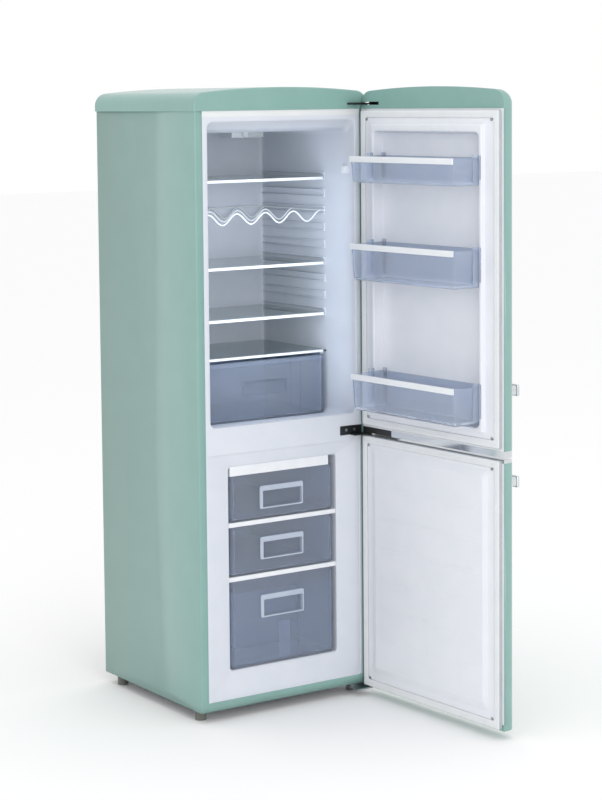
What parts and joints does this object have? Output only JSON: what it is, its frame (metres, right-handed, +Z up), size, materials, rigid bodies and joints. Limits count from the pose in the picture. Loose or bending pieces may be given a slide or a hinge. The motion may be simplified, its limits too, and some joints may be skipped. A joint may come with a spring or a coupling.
{
  "type": "bottom-freezer refrigerator",
  "caption": "Retro mint bottom-freezer refrigerator with a domed cap, chrome handles and trims, glass shelves, a wire bottle rack, door bins, a crisper and freezer drawers; both doors open.",
  "frame": {"origin": "on the floor, midway between the four levelling feet", "axes": "+Z up along the cabinet's height, -Y out of the door side, +X to the right as seen from the front"},
  "size_m": [0.7082, 1.1595, 1.8179],
  "materials": {
    "mint_enamel": "gloss",
    "foam": "matte",
    "white_plastic": "satin",
    "liner_plastic": "satin",
    "white_enamel": "gloss",
    "galvanised_steel": "satin",
    "black_steel": "matte",
    "grey_rubber": "matte",
    "black_rubber": "matte",
    "black_plastic": "matte",
    "chrome": "polished",
    "clear_blue_plastic": "gloss",
    "shelf_glass": "gloss",
    "white_wire": "gloss",
    "lens_plastic": "satin",
    "steel": "satin"
  },
  "bodies": {
    "cabinet": {"back_panel": "galvanised_steel", "base_plate": "galvanised_steel", "bottom_hinge_bracket": "steel", "cabinet_cap": "mint_enamel", "cabinet_foam": "foam", "compressor": "black_steel", "compressor_mounts": "black_rubber", "condenser_coil": "black_steel", "cord_gland": "black_plastic", "crisper_cover": "shelf_glass", "evaporation_tray": "black_plastic", "evaporator_bar": "white_plastic", "evaporator_shelves": "white_plastic", "freezer_liner": "liner_plastic", "fridge_liner": "liner_plastic", "hinge_screws": "steel", "lamp_housing": "white_plastic", "lamp_lens": "lens_plastic", "levelling_feet": "black_plastic", "middle_hinge_bracket": "steel", "outer_shell": "mint_enamel", "switch_housing": "white_plastic", "top_hinge_bracket": "black_steel", "top_rail": "white_enamel"},
    "upper_door": {"upper_door_skin": "mint_enamel", "upper_door_cap": "mint_enamel", "upper_door_foam": "foam", "upper_door_liner": "liner_plastic", "upper_door_gasket": "grey_rubber", "upper_door_handle": "chrome", "upper_door_trim": "chrome", "upper_hinge_block": "black_plastic", "upper_liner_screws": "steel"},
    "lower_door": {"lower_door_skin": "mint_enamel", "lower_end_cap": "mint_enamel", "lower_door_foam": "foam", "lower_door_liner": "liner_plastic", "lower_door_gasket": "grey_rubber", "lower_door_handle": "chrome", "lower_door_trim": "chrome", "lower_liner_screws": "steel"},
    "bottle_rack": {"bottle_rack": "white_wire"},
    "crisper": {"crisper_drawer": "clear_blue_plastic"},
    "knob": {"thermostat_knob": "white_plastic"},
    "plunger": {"switch_plunger": "white_plastic"},
    "low_shelf": {"low_shelf_glass": "shelf_glass", "low_shelf_trim": "white_plastic"},
    "low_bin": {"low_door_bin": "clear_blue_plastic", "low_bin_rail": "white_plastic"},
    "low_drawer": {"low_freezer_drawer": "clear_blue_plastic"},
    "middle_shelf": {"middle_shelf_glass": "shelf_glass", "middle_shelf_trim": "white_plastic"},
    "middle_bin": {"middle_door_bin": "clear_blue_plastic", "middle_bin_rail": "white_plastic"},
    "middle_drawer": {"middle_freezer_drawer": "clear_blue_plastic"},
    "high_shelf": {"high_shelf_glass": "shelf_glass", "high_shelf_trim": "white_plastic"},
    "high_bin": {"high_door_bin": "clear_blue_plastic", "high_bin_rail": "white_plastic"},
    "high_drawer": {"high_freezer_drawer": "clear_blue_plastic"}
  },
  "joints": [
    {"name": "upper_door_hinge", "type": "hinge", "parent": "cabinet", "child": "upper_door", "pos_m": [0.286, -0.295, 0.8], "axis": [0, 0, 1], "range_deg": [-93.1, 13]},
    {"name": "lower_door_hinge", "type": "hinge", "parent": "cabinet", "child": "lower_door", "pos_m": [0.286, -0.295, 0.8], "axis": [0, 0, 1], "range_deg": [-93.1, 13]},
    {"name": "low_shelf_slide", "type": "slide", "parent": "cabinet", "child": "low_shelf", "axis": [0, -1, 0], "range_m": [0, 0.18]},
    {"name": "middle_shelf_slide", "type": "slide", "parent": "cabinet", "child": "middle_shelf", "axis": [0, -1, 0], "range_m": [0, 0.18]},
    {"name": "high_shelf_slide", "type": "slide", "parent": "cabinet", "child": "high_shelf", "axis": [0, -1, 0], "range_m": [0, 0.18]},
    {"name": "bottle_rack_slide", "type": "slide", "parent": "cabinet", "child": "bottle_rack", "axis": [0, -1, 0], "range_m": [0, 0.18]},
    {"name": "crisper_slide", "type": "slide", "parent": "cabinet", "child": "crisper", "axis": [0, -1, 0], "range_m": [0, 0.1]},
    {"name": "low_drawer_slide", "type": "slide", "parent": "cabinet", "child": "low_drawer", "axis": [0, -1, 0], "range_m": [0, 0.24]},
    {"name": "middle_drawer_slide", "type": "slide", "parent": "cabinet", "child": "middle_drawer", "axis": [0, -1, 0], "range_m": [0, 0.36]},
    {"name": "high_drawer_slide", "type": "slide", "parent": "cabinet", "child": "high_drawer", "axis": [0, -1, 0], "range_m": [0, 0.36]},
    {"name": "low_bin_lift", "type": "slide", "parent": "upper_door", "child": "low_bin", "axis": [0, 0, 1], "range_m": [0, 0.02]},
    {"name": "middle_bin_lift", "type": "slide", "parent": "upper_door", "child": "middle_bin", "axis": [0, 0, 1], "range_m": [0, 0.02]},
    {"name": "high_bin_lift", "type": "slide", "parent": "upper_door", "child": "high_bin", "axis": [0, 0, 1], "range_m": [0, 0.02]},
    {"name": "thermostat_turn", "type": "hinge", "parent": "cabinet", "child": "knob", "pos_m": [0.09, 0.054, 1.679], "axis": [0, 1, 0], "range_deg": [0, 270]},
    {"name": "switch_press", "type": "slide", "parent": "cabinet", "child": "plunger", "axis": [1, 0, 0], "range_m": [0, 0.004], "stiffness_N_per_m": 300}
  ]
}
